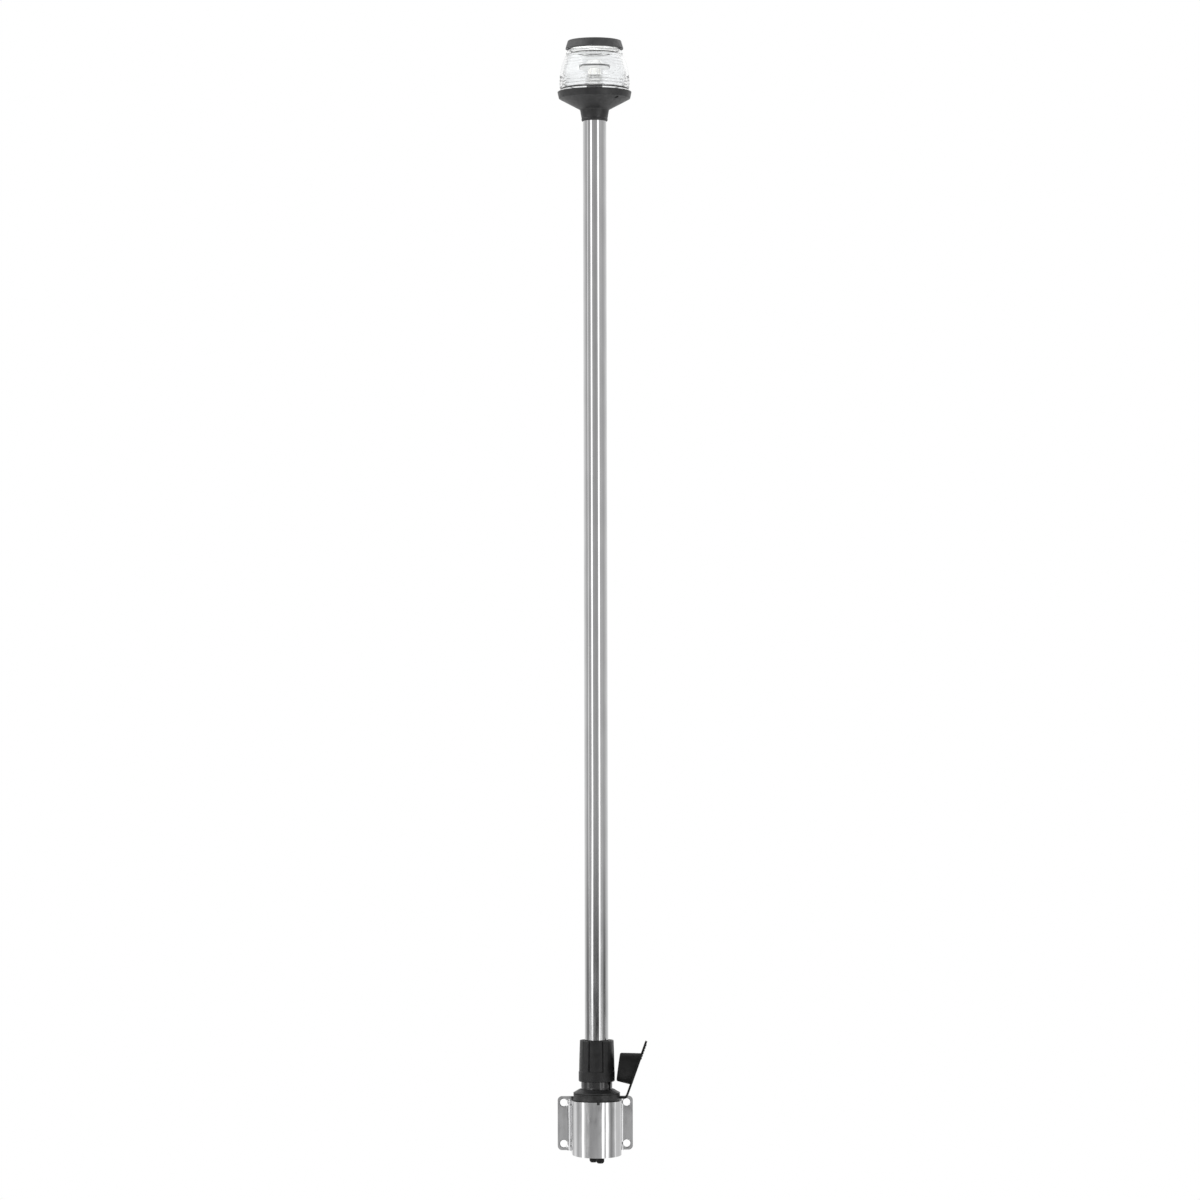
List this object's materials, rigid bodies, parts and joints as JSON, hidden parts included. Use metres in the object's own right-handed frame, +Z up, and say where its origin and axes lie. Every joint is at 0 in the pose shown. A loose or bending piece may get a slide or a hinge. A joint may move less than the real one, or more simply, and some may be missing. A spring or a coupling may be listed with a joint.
{
  "type": "navigation light",
  "caption": "All-round navigation light on a long polished tube, plugged into a socket on a stainless wall bracket and held by a fluted locking ring, with a rubber dust cap.",
  "frame": {"origin": "middle of the bracket's four screw holes, on its back face", "axes": "+Z up along the pole, +Y into the wall that carries the bracket, +X to the right as seen from the front, towards the dust cap"},
  "size_m": [0.075, 0.063, 0.9529],
  "materials": {
    "polished_steel": "mirror-polished stainless steel",
    "screw_steel": "plain stainless steel",
    "black_nylon": "satin, glass-filled nylon",
    "glossy_nylon": "glossy",
    "black_rubber": "matt",
    "clear_acrylic": "clear, polished",
    "white_plastic": "satin white",
    "circuit_board": "solder mask",
    "led_phosphor": "pale phosphor",
    "driver_case": "moulded case",
    "plated_brass": "plated",
    "cable_jacket": "matt"
  },
  "bodies": {
    "bracket": {"wall_bracket": "polished_steel", "socket_body": "black_nylon", "cap_strap_ring": "black_rubber", "socket_contact_1": "plated_brass", "socket_contact_2": "plated_brass", "terminal_boot_1": "black_rubber", "terminal_boot_2": "black_rubber", "socket_screw_1": "screw_steel", "socket_screw_2": "screw_steel"},
    "pole": {"plug_body": "black_nylon", "plug_pin_1": "plated_brass", "plug_pin_2": "plated_brass", "plug_o_ring": "black_rubber", "ring_clip": "screw_steel", "plug_grub_screw": "screw_steel", "pole_tube": "polished_steel", "inner_cable": "cable_jacket", "collar_grub_screw": "screw_steel", "cable_grommet": "black_rubber", "head_base": "black_nylon", "lens_screw_1": "screw_steel", "lens_screw_2": "screw_steel", "lens_cover": "clear_acrylic", "lens_seal_lower": "black_rubber", "lens_seal_upper": "black_rubber", "fresnel_insert": "clear_acrylic", "reflector_plate": "white_plastic", "reflector_screw": "screw_steel", "top_cap": "black_nylon", "led_post": "black_nylon", "post_screw_1": "screw_steel", "post_screw_2": "screw_steel", "led_carrier": "white_plastic", "led_board_lower": "circuit_board", "led_board_upper": "circuit_board", "led_1": "led_phosphor", "led_2": "led_phosphor", "led_3": "led_phosphor", "led_4": "led_phosphor", "led_5": "led_phosphor", "led_6": "led_phosphor", "led_driver": "driver_case"},
    "lock_ring": {"locking_ring": "black_nylon", "lock_sleeve": "glossy_nylon"},
    "cap": {"dust_cap": "black_rubber"}
  },
  "joints": [
    {"name": "pole_slide", "type": "slide", "parent": "bracket", "child": "pole", "axis": [0, 0, 1], "range_m": [0, 0.055]},
    {"name": "ring_turn", "type": "hinge", "parent": "pole", "child": "lock_ring", "pos_m": [0, -0.0237, 0.045], "axis": [0, 0, 1], "range_deg": [-60, 0]},
    {"name": "dust_cap_swing", "type": "hinge", "parent": "bracket", "child": "cap", "pos_m": [0.02498, -0.02611, 0.0235], "axis": [0.0958, 0.9954, 0], "range_deg": [-5, 150]}
  ]
}
